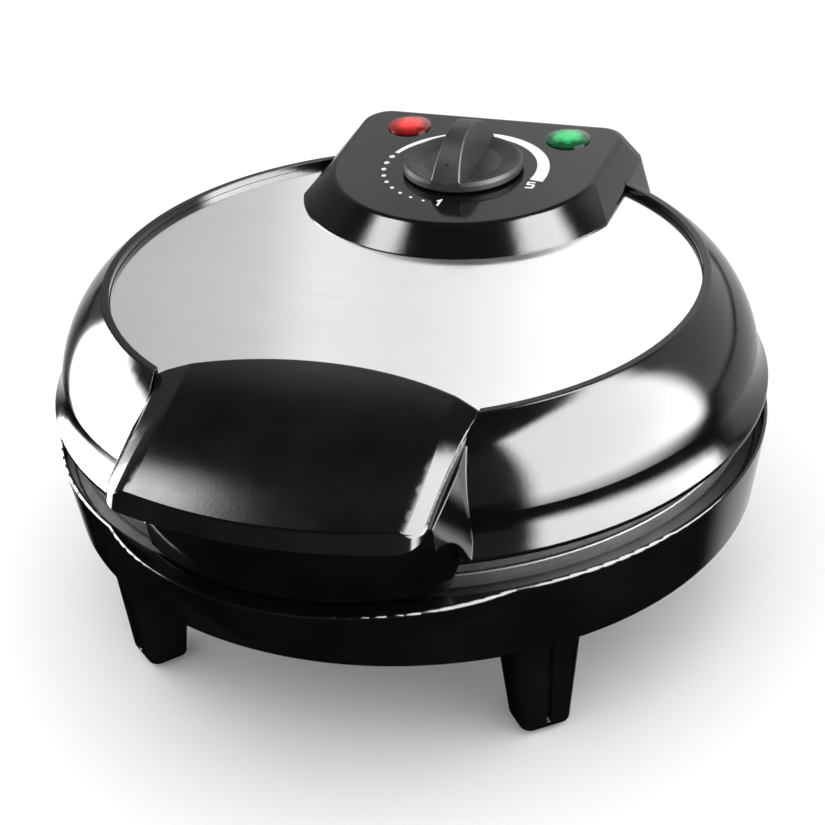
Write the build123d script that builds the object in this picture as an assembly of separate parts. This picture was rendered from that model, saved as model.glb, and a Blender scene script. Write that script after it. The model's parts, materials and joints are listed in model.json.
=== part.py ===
"""Heart waffle maker: two round cast plates with five hearts each, in a base and a hinged lid.

The lid carries a steel inlay, a paddle handle and a control housing with a thermostat dial
and two pilot lamps. Everything is laid out about the plates' upright axis and then moved
along Y, so that the origin is the centre of the whole appliance's footprint, on the table.
X is to the right seen from the handle, Y runs from the handle to the hinge, Z is up.
All sizes are in millimetres.
"""
import os
from math import asin, atan, atan2, cos, degrees, hypot, pi, radians, sin, sqrt, tan

from build123d import *

# Clearances
RUN = 0.05              # radial clearance of a turning or fitted round
GAP = 0.3               # clearance between bodies that move past each other
FIT = 0.2               # clearance round a piece that is dropped into place

# Base casing
BASE_Z = 34.6           # height of the casing's lower edge over the table
BASE_R = 106.0          # outer radius at the lower edge
RIM_Z = 60.0            # height of the rim
RIM_R = BASE_R + 3.7    # outer radius at the rim
WALL = 2.5              # wall of the plastic casings
BASE_EDGE = 2.7         # rounding of the lower edge
RIM_EDGE = 0.8          # rounding of the rim
LIP_R = BASE_R - 23.9   # radius of the front lip at the rim
LIP_Y = -36.5           # centre of that radius
LIP_STEP = 0.2          # how far the lip starts inside the round wall
LEDGE_DROP = 1.2        # fall of the ledge from the rim to the plate

# Cast plates
PLATE_R = BASE_R - 2.7  # radius of the plate's flange
BOSS_R = PLATE_R - 5.9  # radius of the plate's deep middle
PLATE_GAP = 0.4         # gap between the closed plates
FLANGE_T = 4.2          # thickness of the flange
CAVITY_D = 9.2          # depth of the hearts
FLOOR_T = 3.0           # metal under the hearts
PEG_D = 5.6             # height of the grid pegs
PEG_FOOT = 5.4          # side of a peg at its foot
PEG_TOP = 3.8           # side of a peg at its top
PEG_PITCH = 10.8        # distance between pegs
PEG_START = 23.0        # distance of the first row's peg from the middle of the plate
CLEFT_ROW = 3           # row of the peg before the cleft, which both lobes leave room for
HEARTS = 5
HEART_R = BOSS_R - 4.4  # reach of the heart lobes from the centre
LOBE_R = 22.5           # radius of a lobe
RIB = 3.6               # metal between two hearts
DRAFT = 1.2             # how much a heart narrows to its floor
TIP_R = 3.0             # rounding of the heart's tip
STUD_R = 5.0            # central stud that holds the reflector
PLATE_SCREWS = (60, 120, 240, 300)
PLATE_SCREW_R = BOSS_R + 3.1  # pitch radius of the plate's screws
PLATE_SINK = 2.0        # depth of the sunk screw heads in the upper plate

# Heating elements and reflectors
HEATER_R = 62.0         # radius of the ring
TUBE_R = 3.3            # radius of the sheathed tube
HEATER_HALF = 12.0      # half of the ring's opening, in degrees
BEND_R = 7.0            # bend of the cold ends
COLD_END_Y = BASE_R - 24.0  # reach of the cold ends
BEAD_R = 3.1            # ceramic bead on a cold end
BEAD_T = 1.2
UPPER_TURN = 90         # turn of the upper ring against the lower one
REFLECTOR_R = BOSS_R - 2.4  # outer radius of the reflector's flange
DISH_R = HEATER_R + 7.0  # radius of its flat floor
SHEET_T = 0.8           # sheet of the reflectors
SHEET_GAP = 0.2         # air between the tube and the floor
NOTCH_W = 27.0          # notch in the reflector for the cold ends

# Hinge
HINGE_Y = RIM_R + 1.3   # distance of the hinge axis from the plates' axis
HINGE_Z = 66.0          # height of the hinge axis
EAR_R = 5.5             # radius of ears and knuckles
EAR_X = 27.0            # middle of each ear
EAR_W = 7.0
KNUCKLE_W = 8.0
PIN_R = 2.0
EAR_FOOT = 14.0         # how far the ears reach down the casing

# Lid casing
LID_LIP_Z = 70.2        # lower edge of the lid
LID_LIP_R = RIM_R - 0.5 # its radius
LIP_EDGE = 1.2          # upright part of the lower edge
FLANK_Z = 82.0          # narrowest part of the flared skirt
FLANK_R = LID_LIP_R - 3.6
FLARE_R = FLANK_R + 1.15  # radius halfway down the flare
SHOULDER_R = 37.5       # radius of the domed shoulder
RING_R = FLANK_R - 14.6 # outer radius of the flat ring round the inlay
INLAY_R = RING_R - 2.4  # radius of the steel inlay
INLAY_Z = 102.3         # height of the inlay's face
INLAY_T = 0.8
FLOOR_LID_T = 2.2       # plastic under the inlay
SEAT_T = 2.2            # ring that the upper plate is screwed to
RIB_T = 3.4             # standing rib under that ring
RING_EDGE = 1.0         # rounding of the ring's edge
WINDOW = (60.0, 36.0)   # opening under the control housing

# Handle
HANDLE_REACH = BASE_R + 20.6  # front of the handle from the plates' axis
HANDLE_REAR = HANDLE_REACH - 65.1  # rear edge of the handle at its middle
REAR_ARC = 94.0         # plan radius of the rear edge
FRONT_ARC = 214.0       # plan radius of the front edge
HANDLE_W = 46.8         # half width at the rear corners
HANDLE_WAIST = 44.6     # half width at the waist
WAIST_Y = HANDLE_REACH - 31.6
HANDLE_FRONT_W = 44.4   # half width at the front corners
CORNER_FRONT = 7.5      # plan rounding of the front corners
CORNER_REAR = 4.0       # plan rounding of the rear corners
HANDLE_TOP = 104.8      # height of the top at the rear edge
TOP_FALL = 3.0          # slope of the top there, in degrees
TOP_R = 204.0           # side radius of the top
TOP_CUTS = 5            # steps in which its bevels follow that curve
TOP_ROUND = 9.0         # rounding between the top and its bevels
HANDLE_EDGE = 1.2       # rounding of the top's front edge
CREASE = 25.0           # least angle of an edge that is rounded, in degrees
FRONT_LEAN = 0.5        # backward lean of the front face
GRIP_SLOPE = 0.30       # slope of the plane that the handle lies on
GRIP_Y = BASE_R - 31.5  # where that plane leaves the inlay
BEVEL_X = 38.0          # inner edge of the side bevels
EDGE_T = 1.3            # thickness of the edge outside them
HANDLE_WALL = 2.0
UNDERPLATE_T = 1.4      # plate that closes the front of the handle from below
HANDLE_SCREWS = ((-30.0, -12.0), (30.0, -12.0), (-20.0, -33.0), (20.0, -33.0))
UNDER_SCREWS = ((-26.0, -45.5), (26.0, -45.5))

# Nose of the lid under the handle
NOSE_LOW_X = 50.2       # half width at the lid's lower edge
NOSE_TOP_X = 44.8       # half width at the height of the ring
NOSE_LOW_FRONT = 46.8   # the same two at the nose's front
NOSE_TOP_FRONT = 43.9
NOSE_REAR = BASE_R - 26.0  # where the nose starts inside the lid
NOSE_TURN = BASE_R - 11.0  # where its sides turn in
NOSE_Y = BASE_R + 7.5   # front of the nose
NOSE_T = 2.2            # its walls
NOSE_LOW = 84.0         # lower edge of the nose at its front

# Heat guard under the nose, called the chin
CHIN_R = 71.0           # plan radius of its face
CHIN_CY = CHIN_R - NOSE_Y + 0.7  # centre of that radius
CHIN_Z = 61.0           # lower edge
CHIN_W = 43.2           # half width at the lower edge
CHIN_W_TOP = 46.4       # half width from CHIN_FULL upwards
CHIN_FULL = 70.0
CHIN_WALL = 2.2
CHIN_POCKET = 24.0      # half width of the hollow middle
CHIN_SCREW = (30.0, 3.2 - BASE_R)
CHIN_SEAT = 81.0        # height where those screws' heads bear
SHELF_T = 2.0           # floor of the nose

# Control housing, measured from the point where the knob's axis meets the panel
PANEL_Y = HINGE_Y - 51.0  # distance of the knob's axis from the plates' axis
PANEL_Z = 111.0         # height of the panel at the knob
PANEL_TILT = 2.1        # slope of the panel, higher towards the hinge
PANEL = (44.4, 5.0, 44.0, 45.2, 41.5)
FOOT = (53.6, 2.6, 51.0, 51.4, 42.4)
SKIRT = (57.5, 1.6, 55.6, 56.0, 43.0)
FOOT_DROP = 7.6         # height of the bevel between panel and foot
SKIRT_DROP = 26.0       # depth of the skirt's widest outline
SKIRT_Z = 88.0          # lower edge of the skirt beside the dome
SKIRT_FLOOR = 2.0       # floor that closes the skirt beside the dome
PANEL_CORNER = 10.0     # plan rounding of the rear corners
PANEL_EDGE = 3.0        # rounding round the panel
HOUSING_WALL = 2.2
POSTS_IN = ((-30.0, -21.0), (30.0, -21.0), (-36.0, 12.0), (36.0, 12.0))
POST_R = 3.2

# Dial and lamps
KNOB_R = 19.6
KNOB_GAP = 0.6          # gap between knob and panel
KNOB_DISC = 3.6         # height of the knob's rim
KNOB_TOP = 15.2         # height of the grip over the panel
GRIP_TOP_T = 6.6        # thickness of the grip at its top
GRIP_FOOT_T = 10.6      # thickness at its foot
KNOB_DISH = 1.2         # depth of the dished face
KNOB_MARK = (7.0, 0.8, 0.5)
SPINDLE_R = 3.0
SPINDLE_FLAT = 2.2      # distance from the axis to the flat
SPINDLE_TOP = 11.0      # top of the spindle over the panel
DIAL_R = 26.0           # middle of the printed scale
DIAL_THIN = 1.5         # width of the scale where it starts
DIAL_WIDE = 4.4         # width where it ends
DIAL_SPAN = (-10.0, 165.0)
DIAL_T = 0.15           # thickness of the print
DOT_SPAN = (172.0, 258.0)
DOTS = 9
DOT_SMALL = 0.45
DOT_LARGE = 0.95
MARK_W = 0.7            # stroke of the printed numbers
LENS_X = 27.8
LENS_Y = 28.0
LENS_R = 7.3
LENS_DOME = 1.0
LENS_FLANGE = 0.6
LENS_BODY_R = 5.8
LENS_BODY = 5.0
LENS_WALL = 1.0
BULB_R = 2.4

# Feet and bottom cover
FOOT_X = 60.0
FOOT_Y = 71.6
FOOT_LONG = 22.5        # size of a foot at its top, across the radius
FOOT_DEEP = 19.0        # the same along the radius
FOOT_TIP = 0.68         # size at the bottom as a share of the top
FOOT_ROUND = 5.0        # rounding of the upright edges
FOOT_EDGE = 2.6         # rounding at the bottom
FOOT_GROOVE = 1.4       # width of the groove down the front
PAD_R = 3.6
PAD_T = 2.6
PAD_STANDS = 0.9        # how far a pad stands out of its foot
COVER_T = 2.0
COVER_RISE = 1.6        # height of the cover over the casing's lower edge
POSTS = (20, 160, 200, 340)
POST_PITCH = BASE_R - 5.0  # pitch radius of the cover's posts
POST_OUT = 2.6          # radius of a post
VENT_R = (40.0, 58.0)   # pitch radii of the vents
VENTS = 12
VENT_LONG = 12.0
VENT_W = 3.0

# Screws, as head radius, head height, shank radius
SCREW_PLATE = (1.8, 1.2, 1.2)
SCREW_SMALL = (2.3, 1.4, 1.2)
SCREW_MID = (3.0, 1.8, 1.5)

# Cord gland
GLAND_Z = 47.0
GLAND_BORE = 3.4        # radius of the bore for a cord
GLAND_W = 10.4          # side of its square barrel
GLAND_FLANGE_R = 8.0
GLAND_FLANGE = 2.4
GLAND_BACK = 7.0        # how far the barrel reaches inside the wall
CLIP_HALF = 8.0         # half the size of the clip behind the wall
CLIP_T = 2.0

# Electrics
BLOCK = (30.0, 11.0, 7.0)
BLOCK_Y = BASE_R - 14.0
BLOCK_WELL = 1.9        # radius of its screw wells
FUSE_ANGLE = 75.0       # place of the cut-out round the plate
FUSE_PITCH = PLATE_SCREW_R + 0.8
WIRE_R = 1.1
FUSE_R = 2.0
FUSE_LONG = 16.0
STAT_BODY = (30.0, 20.0, 10.5)
STAT_TOP = 13.4         # depth of the thermostat's top under the panel
STAT_BUSH_R = 5.0
STAT_BUSH = 7.0
BRACKET_T = 1.2

# Values that follow from the ones above
PLATE_TOP = RIM_Z - LEDGE_DROP + FLANGE_T
PARTING_Z = PLATE_TOP + PLATE_GAP / 2
SEAT_Z = PLATE_TOP - FLANGE_T
PLATE_LOW = PLATE_TOP - CAVITY_D - FLOOR_T
UPPER_BACK = 2 * PARTING_Z - SEAT_Z
OPENING_R = BOSS_R + 1.2
DECK_Z = SEAT_Z - WALL
HEATER_Z = PLATE_LOW - TUBE_R
DISH_Z = HEATER_Z - TUBE_R - SHEET_GAP
COVER_Z = BASE_Z + COVER_RISE
COVER_TOP = COVER_Z + COVER_T
COVER_R = BASE_R - WALL - FIT
BACK_REACH = HINGE_Y + EAR_R
BODY_Y = (HANDLE_REACH - BACK_REACH) / 2
RIM_SLOPE = (RIM_R - BASE_R) / (RIM_Z - BASE_Z)
GLAND_WALL_Y = BASE_R + RIM_SLOPE * (GLAND_Z - BASE_Z)
FLOOR_Z = INLAY_Z - INLAY_T
CEILING_Z = FLOOR_Z - FLOOR_LID_T
SHOULDER_SIN = 0.21     # sine of the angle at which the shoulder starts
SHOULDER_CR = FLANK_R - SHOULDER_R * sqrt(1 - SHOULDER_SIN**2)
SHOULDER_CZ = FLANK_Z - SHOULDER_R * SHOULDER_SIN
RING_Z = SHOULDER_CZ + sqrt(SHOULDER_R**2 - (RING_R - SHOULDER_CR)**2)
CEILING_R = SHOULDER_CR + sqrt((SHOULDER_R - WALL)**2 - (CEILING_Z - SHOULDER_CZ)**2)
CLEAR_R = PLATE_R + 0.6
SEAT_TOP = LID_LIP_Z + SEAT_T
PANEL_PLANE = Plane(origin=(0, PANEL_Y, PANEL_Z), x_dir=(1, 0, 0),
                    z_dir=(0, -sin(radians(PANEL_TILT)), cos(radians(PANEL_TILT))))
GRIP_ANGLE = atan(GRIP_SLOPE)
GRIP_PLANE = Plane(origin=(0, -GRIP_Y, INLAY_Z), x_dir=(1, 0, 0),
                   z_dir=(0, -sin(GRIP_ANGLE), cos(GRIP_ANGLE)))
GRIP_FLOOR = (FLOOR_LID_T + FIT / 2) * cos(GRIP_ANGLE)
TOP_CY = -HANDLE_REAR + TOP_R * sin(radians(TOP_FALL))
TOP_CZ = HANDLE_TOP - TOP_R * cos(radians(TOP_FALL))
LIP_Z = INLAY_Z + GRIP_SLOPE * (GRIP_Y - HANDLE_REACH)


def grip_z(y):
    """Height of what the handle lies on: the inlay, then a plane that slopes to the front."""
    return INLAY_Z + GRIP_SLOPE * min(y + GRIP_Y, 0)


def top_z(y):
    """Height of the handle's top along its middle."""
    return TOP_CZ + sqrt(TOP_R**2 - (y - TOP_CY)**2)


def disc(r, z0, z1):
    """An upright cylinder about the plates' axis between two heights."""
    return Pos(0, 0, (z0 + z1) / 2) * Cylinder(r, z1 - z0)


def frustum(r0, r1, z0, z1):
    """An upright cone between two heights."""
    return Pos(0, 0, (z0 + z1) / 2) * Cone(r0, r1, z1 - z0)


def ring(r_in, r_out, z0, z1):
    return disc(r_out, z0, z1) - disc(r_in, z0 - 1, z1 + 1)


def polar(angle, r, z=0.0):
    return Pos(r * cos(radians(angle)), r * sin(radians(angle)), z)


def turned(*points):
    """A solid of revolution about Z from (radius, height) corners."""
    return revolve(Plane.XZ * make_face(Polyline(*points, close=True)), Axis.Z)


def prism_x(points, half):
    """A prism along X, twice half long, from (y, z) corners."""
    return extrude(Plane.YZ * make_face(Polyline(*points, close=True)), half, both=True)


def prism_z(points, z0, z1):
    """An upright prism from (x, y) corners."""
    return Pos(0, 0, z0) * extrude(make_face(Polyline(*points, close=True)), z1 - z0)


def mirrored(points):
    """Corners of the right-hand side, followed by their mirror images in reverse."""
    return list(points) + [(-x, y) for x, y in reversed(points)]


def flip(part):
    """The same piece on the other side of the parting plane."""
    return mirror(part, Plane.XY.offset(PARTING_Z))


def screw(size, z_seat, length, up=True):
    """A pan-head screw whose head bears at z_seat, with its shank up or down."""
    head_r, head_h, shank_r = size
    side = 1 if up else -1
    cap = Pos(0, 0, z_seat - side * head_h / 2) * Cylinder(head_r, head_h)
    slot = Pos(0, 0, z_seat - side * head_h) * Box(head_r * 1.5, head_r * 0.3, head_h * 0.8)
    shank = Pos(0, 0, z_seat + side * length / 2) * Cylinder(shank_r, length)
    return cap - slot + shank


def hole(size, z0, z1):
    """The clearance hole of a screw."""
    return disc(size[2] + 0.15, z0, z1)


def thread(size, z0, z1):
    """The hole that a screw bites into."""
    return disc(size[2], z0, z1)


def wire(points, bend=1.3, r=None):
    """A lead along straight runs joined by small bends."""
    path = FilletPolyline(*points, radius=bend)
    start = Vector(*points[0])
    ahead = (Vector(*points[1]) - start).normalized()
    return sweep(Plane(origin=start, z_dir=ahead) * Circle(r or WIRE_R), path)


# Base


def base_outline(inset, z0, z1):
    """The casing's solid form, drawn in by a wall thickness."""
    low = BASE_R - inset + RIM_SLOPE * (z0 - BASE_Z)
    high = BASE_R - inset + RIM_SLOPE * (z1 - BASE_Z)
    lip_z = BASE_Z + BASE_EDGE
    lip_low = BASE_R + LIP_Y - LIP_STEP - inset
    lip_high = lip_low + (LIP_R - BASE_R - LIP_Y + LIP_STEP) * (z1 - lip_z) / (RIM_Z - lip_z)
    body = frustum(low, high, z0, z1)
    lip = frustum(lip_low, lip_high, lip_z, z1)
    if inset == 0:
        body = fillet(body.edges().filter_by(GeomType.CIRCLE).sort_by(Axis.Z)[0], BASE_EDGE)
        body = fillet(body.edges().filter_by(GeomType.CIRCLE).sort_by(Axis.Z)[-1], RIM_EDGE)
        lip = fillet(lip.edges().filter_by(GeomType.CIRCLE).sort_by(Axis.Z)[-1], RIM_EDGE)
    return body + Pos(0, LIP_Y) * lip


def hinge_ear(x):
    """One ear of the hinge: a round head on a web that runs down the casing's wall."""
    wall_y = sqrt(RIM_R**2 - EAR_X**2)
    low = RIM_Z - EAR_FOOT
    head = Pos(x, HINGE_Y, HINGE_Z) * Rot(0, 90, 0) * Cylinder(EAR_R, EAR_W)
    web = Pos(x) * prism_x(((HINGE_Y + EAR_R, HINGE_Z), (wall_y - 1, low), (wall_y - 3, low),
                            (wall_y - 3, SEAT_Z - 1), (HINGE_Y - EAR_R, SEAT_Z - 1),
                            (HINGE_Y - EAR_R, HINGE_Z)), EAR_W / 2)
    return head + web


def base_shell():
    shell = base_outline(0, BASE_Z, RIM_Z)
    for side in (-1, 1):
        shell += hinge_ear(side * EAR_X)
    shell -= base_outline(WALL, BASE_Z - 1, DECK_Z)
    post_z = COVER_TOP + FIT
    for angle in POSTS:
        post = disc(POST_OUT, post_z, DECK_Z)
        web = Pos(3, 0, (post_z + DECK_Z) / 2) * Box(5, 3, DECK_Z - post_z)
        shell += Rot(0, 0, angle) * Pos(POST_PITCH) * (post + web)
    shell -= turned((0, SEAT_Z), (CLEAR_R + 0.6, SEAT_Z), (RIM_R - 1.2, RIM_Z), (RIM_R - 1.2, RIM_Z + 1),
                    (0, RIM_Z + 1))
    shell -= disc(OPENING_R, DECK_Z - 1, RIM_Z)
    for side in (-1, 1):
        shell -= Pos(side * EAR_X, HINGE_Y, HINGE_Z) * Rot(0, 90, 0) * Cylinder(PIN_R, EAR_W + 1)
    for angle in PLATE_SCREWS:
        shell -= polar(angle, PLATE_SCREW_R) * hole(SCREW_PLATE, DECK_Z - 1, SEAT_Z + 1)
    for angle in POSTS:
        shell -= polar(angle, POST_PITCH) * thread(SCREW_SMALL, post_z - 1, post_z + 9)
    side = GLAND_W + 2 * RUN
    shell -= Pos(0, GLAND_WALL_Y, GLAND_Z) * Box(side, 20, side)
    return shell


def bottom_cover():
    cover = disc(COVER_R, COVER_Z, COVER_TOP)
    slot = Pos(0, 0, COVER_Z - 0.5) * extrude(SlotOverall(VENT_LONG, VENT_W), COVER_T + 1)
    for r in VENT_R:
        for k in range(VENTS):
            cover -= Rot(0, 0, (k + 0.5) * 360 / VENTS) * Pos(r) * slot
    for angle in POSTS:
        cover -= polar(angle, POST_PITCH) * hole(SCREW_SMALL, COVER_Z - 1, COVER_TOP + 1)
    for x, y in foot_places():
        cover -= Pos(x, y) * hole(SCREW_MID, COVER_Z - 1, COVER_TOP + 1)
    return cover


def cover_screws():
    return [polar(a, POST_PITCH) * screw(SCREW_SMALL, COVER_Z, COVER_T + 8) for a in POSTS]


def foot_places():
    return [(sx * FOOT_X, sy * FOOT_Y) for sy in (-1, 1) for sx in (-1, 1)]


def foot(x, y):
    """A foot under the bottom cover, its groove facing outwards along the radius."""
    deep, long = FOOT_DEEP, FOOT_LONG
    top = Plane.XY.offset(COVER_Z) * RectangleRounded(deep, long, FOOT_ROUND)
    tip = RectangleRounded(deep * FOOT_TIP, long * FOOT_TIP, FOOT_ROUND * FOOT_TIP)
    tip = Plane.XY.offset(PAD_STANDS) * tip
    body = loft([tip, top])
    body = fillet(body.faces().sort_by(Axis.Z)[0].edges(), FOOT_EDGE)
    lean = degrees(atan((1 - FOOT_TIP) * deep / 2 / (COVER_Z - PAD_STANDS)))
    body -= Pos(deep / 2, 0, COVER_Z) * Rot(0, lean, 0) * Box(2, FOOT_GROOVE, 2 * (COVER_Z - 4))
    body -= disc(PAD_R, PAD_STANDS - 1, PAD_T)
    body -= thread(SCREW_MID, COVER_Z - 11, COVER_Z + 1)
    return Pos(x, y) * Rot(0, 0, degrees(atan2(y, x))) * body


def foot_pad(x, y):
    pad = disc(PAD_R, 0, PAD_T)
    return Pos(x, y) * fillet(pad.edges().filter_by(GeomType.CIRCLE).sort_by(Axis.Z)[0], 0.6)


def foot_screws():
    """Screws from inside the casing, down through the cover into the feet."""
    return [Pos(x, y) * screw(SCREW_MID, COVER_TOP, COVER_T + 10, up=False) for x, y in foot_places()]


def cord_gland():
    """A gland in the rear wall, with a bore for the supply cord. Its square barrel can't turn."""
    seat_y = GLAND_WALL_Y + RIM_SLOPE * GLAND_FLANGE_R
    barrel_end = GLAND_WALL_Y - WALL - GLAND_BACK
    barrel = Pos(0, (seat_y + barrel_end) / 2) * Box(GLAND_W, seat_y - barrel_end, GLAND_W)
    flange = Pos(0, seat_y + GLAND_FLANGE / 2) * Rot(90, 0, 0) * Cylinder(GLAND_FLANGE_R, GLAND_FLANGE)
    flange = fillet(flange.edges().filter_by(GeomType.CIRCLE).sort_by(Axis.Y)[-1], 1.0)
    bore = Pos(0, seat_y) * Rot(90, 0, 0) * Cylinder(GLAND_BORE, 40)
    return Pos(0, 0, GLAND_Z) * (barrel + flange - bore)


def gland_clip():
    """The clip that holds the gland's barrel from inside the wall."""
    inner_r = GLAND_WALL_Y - WALL - RIM_SLOPE * CLIP_HALF
    seat_y = sqrt(inner_r**2 - CLIP_HALF**2)
    plate = Pos(0, seat_y - CLIP_T / 2, GLAND_Z) * Box(2 * CLIP_HALF, CLIP_T, 2 * CLIP_HALF)
    plate = fillet(plate.edges().filter_by(Axis.Y), 2.0)
    side = GLAND_W + 2 * RUN
    return plate - Pos(0, seat_y, GLAND_Z) * Box(side, 20, side)


def hinge_pin(side):
    length = EAR_W + GAP + KNUCKLE_W
    middle = EAR_X + EAR_W / 2 - length / 2
    pin = Pos(side * middle, HINGE_Y, HINGE_Z) * Rot(0, 90, 0) * Cylinder(PIN_R, length)
    return chamfer(pin.edges().filter_by(GeomType.CIRCLE), 0.3)


# Plates


def lobe_centre():
    """Centre of a heart's lobe, which touches its sector's edge."""
    reach = HEART_R - LOBE_R
    phi = pi / HEARTS - asin((LOBE_R + RIB / 2) / reach)
    return reach * cos(phi), reach * sin(phi)


def heart(inset):
    """A heart along +X with its tip at the middle of the plate, drawn in by inset."""
    half = pi / HEARTS
    u, v = lobe_centre()
    a = LOBE_R - inset
    tip = (RIB / 2 + inset) / sin(half)
    touch_x = u - a * sin(half)
    touch_y = v + a * cos(half)
    notch = u + sqrt(a * a - v * v)
    bulge_x = u + a * cos(0.6)
    bulge_y = v + a * sin(0.6)
    lines = [
        Line((tip, 0), (touch_x, touch_y)),
        ThreePointArc((touch_x, touch_y), (bulge_x, bulge_y), (notch, 0)),
        ThreePointArc((notch, 0), (bulge_x, -bulge_y), (touch_x, -touch_y)),
        Line((touch_x, -touch_y), (tip, 0)),
    ]
    face = make_face(lines)
    return fillet(face.vertices().sort_by(Axis.X)[0], TIP_R)


def in_heart(x, y, margin):
    """Whether a point lies inside the heart's outline by at least the margin."""
    half = pi / HEARTS
    u, v = lobe_centre()
    y = abs(y)
    if hypot(x - u, y - v) <= LOBE_R - margin:
        return True
    aside = x * sin(half) - y * cos(half) - RIB / 2
    along = x * cos(half) + y * sin(half)
    return aside >= margin and along <= u * cos(half) + v * sin(half) and x <= u


def peg_places():
    """Grid places inside one heart, in rows along its two straight sides."""
    places = []
    margin = DRAFT + PEG_FOOT * 0.72
    for i in range(-8, 9):
        for j in range(-8, 9):
            x = PEG_START + PEG_PITCH * (i + j) / sqrt(2)
            y = PEG_PITCH * (i - j) / sqrt(2)
            if in_heart(x, y, margin) or i == j == CLEFT_ROW:
                places.append((x, y))
    return places


def heart_turns():
    return [Rot(0, 0, 90 + k * 360 / HEARTS) for k in range(HEARTS)]


def bare_plate():
    """A cast plate with its hearts and pegs, lying in the base."""
    plate = disc(BOSS_R, PLATE_LOW, PLATE_TOP) + disc(PLATE_R, SEAT_Z, PLATE_TOP)
    rims = plate.edges().filter_by(GeomType.CIRCLE).group_by(Axis.Z)[-1]
    plate = fillet(rims, 0.6)
    floor = PLATE_TOP - CAVITY_D
    cavity = loft([Plane.XY.offset(floor) * heart(DRAFT), Plane.XY.offset(PLATE_TOP) * heart(0)])
    foot_sketch = Plane.XY.offset(floor - 0.5) * Rot(0, 0, 45) * Rectangle(PEG_FOOT, PEG_FOOT)
    top_sketch = Plane.XY.offset(floor + PEG_D) * Rot(0, 0, 45) * Rectangle(PEG_TOP, PEG_TOP)
    peg = loft([foot_sketch, top_sketch])
    plate = plate - [turn * cavity for turn in heart_turns()]
    plate += [turn * Pos(x, y) * peg for turn in heart_turns() for x, y in peg_places()]
    plate += disc(STUD_R, DISH_Z, PLATE_LOW)
    return plate - thread(SCREW_MID, DISH_Z - 1, PLATE_LOW + 1)


def lower_plate():
    plate = bare_plate()
    for angle in PLATE_SCREWS:
        plate -= polar(angle, PLATE_SCREW_R) * thread(SCREW_PLATE, SEAT_Z - 1, SEAT_Z + 3)
    return plate


def lower_plate_screws():
    return [polar(a, PLATE_SCREW_R) * screw(SCREW_PLATE, DECK_Z, WALL + 2.8) for a in PLATE_SCREWS]


def upper_plate():
    """The other plate, with sunk holes for screws that go up into the lid."""
    plate = flip(bare_plate())
    face_z = PARTING_Z + PLATE_GAP / 2
    for angle in PLATE_SCREWS:
        spot = polar(angle, PLATE_SCREW_R)
        plate -= spot * hole(SCREW_PLATE, face_z - 1, UPPER_BACK + 1)
        plate -= spot * disc(SCREW_PLATE[0] + FIT, face_z - 1, face_z + PLATE_SINK)
    return plate


def upper_plate_screws():
    seat = PARTING_Z + PLATE_GAP / 2 + PLATE_SINK
    length = SEAT_TOP - 0.6 - seat
    return [polar(a, PLATE_SCREW_R) * screw(SCREW_PLATE, seat, length) for a in PLATE_SCREWS]


def heater():
    """The sheathed ring in the base, its two ends turned out to the rear, with ceramic beads."""
    half = radians(HEATER_HALF)
    span = 360 - 2 * HEATER_HALF
    parts = []
    lines = [CenterArc((0, 0), HEATER_R, 90 + HEATER_HALF, span)]
    for side in (-1, 1):
        start = Vector(side * HEATER_R * sin(half), HEATER_R * cos(half))
        ahead = Vector(-side * cos(half), sin(half))
        bend = JernArc(start, ahead, BEND_R, -side * (90 - HEATER_HALF))
        lines += [bend, Line(bend @ 1, (Vector(*(bend @ 1)).X, COLD_END_Y))]
        x = (bend @ 1).X
        bead = Pos(x, COLD_END_Y + BEAD_T / 2, HEATER_Z) * Rot(90, 0, 0) * Cylinder(BEAD_R, BEAD_T)
        parts.append(bead)
    path = Pos(0, 0, HEATER_Z) * Wire(lines)
    end = Vector((lines[2] @ 1).X, COLD_END_Y, HEATER_Z)
    tube = sweep(Plane(origin=end, z_dir=(0, -1, 0)) * Circle(TUBE_R), path)
    return [tube] + parts


def cold_end_x():
    """Distance of the cold ends from the middle."""
    half = radians(HEATER_HALF)
    return HEATER_R * sin(half) - BEND_R * (1 - sin(half))


def reflector():
    """A dished sheet under the ring, notched for the cold ends."""
    low = DISH_Z - SHEET_T
    pan = turned((0, low), (DISH_R, low), (REFLECTOR_R - 4, PLATE_LOW - SHEET_T),
                 (REFLECTOR_R, PLATE_LOW - SHEET_T), (REFLECTOR_R, PLATE_LOW), (REFLECTOR_R - 4.4, PLATE_LOW),
                 (DISH_R - 0.4, DISH_Z), (0, DISH_Z))
    pan -= Pos(0, DISH_R + 16, HEATER_Z) * Box(NOTCH_W, 36, 20)
    return pan - hole(SCREW_MID, low - 1, DISH_Z + 1)


def reflector_screw():
    return screw(SCREW_MID, DISH_Z - SHEET_T, SHEET_T + PLATE_LOW - DISH_Z)


def upper(pieces):
    """A piece or a list of pieces of the lower heater turned over for the lid."""
    turn = Rot(0, 0, UPPER_TURN)
    return [turn * flip(piece) for piece in pieces]


# Base electrics


def terminal_block():
    long, deep, high = BLOCK
    block = Pos(0, BLOCK_Y, COVER_TOP + high / 2) * Box(long, deep, high)
    block = fillet(block.edges().filter_by(Axis.Z), 1.0)
    for k in (-1, 0, 1):
        block -= Pos(k * long / 3, BLOCK_Y, COVER_TOP + high) * Cylinder(BLOCK_WELL, high)
    return block


def thermal_fuse():
    """A one-shot cut-out in a clip under the deck, beside the plate's deep middle."""
    z = DECK_Z - FUSE_R - 1.0
    body = Pos(0, 0, z) * Rot(90, 0, 0) * Cylinder(FUSE_R, FUSE_LONG)
    clip = Pos(0, 0, (z + DECK_Z) / 2) * Box(2 * FUSE_R + 1.6, 4, DECK_Z - z)
    return Rot(0, 0, FUSE_ANGLE) * Pos(FUSE_PITCH) * (body + clip)


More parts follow.
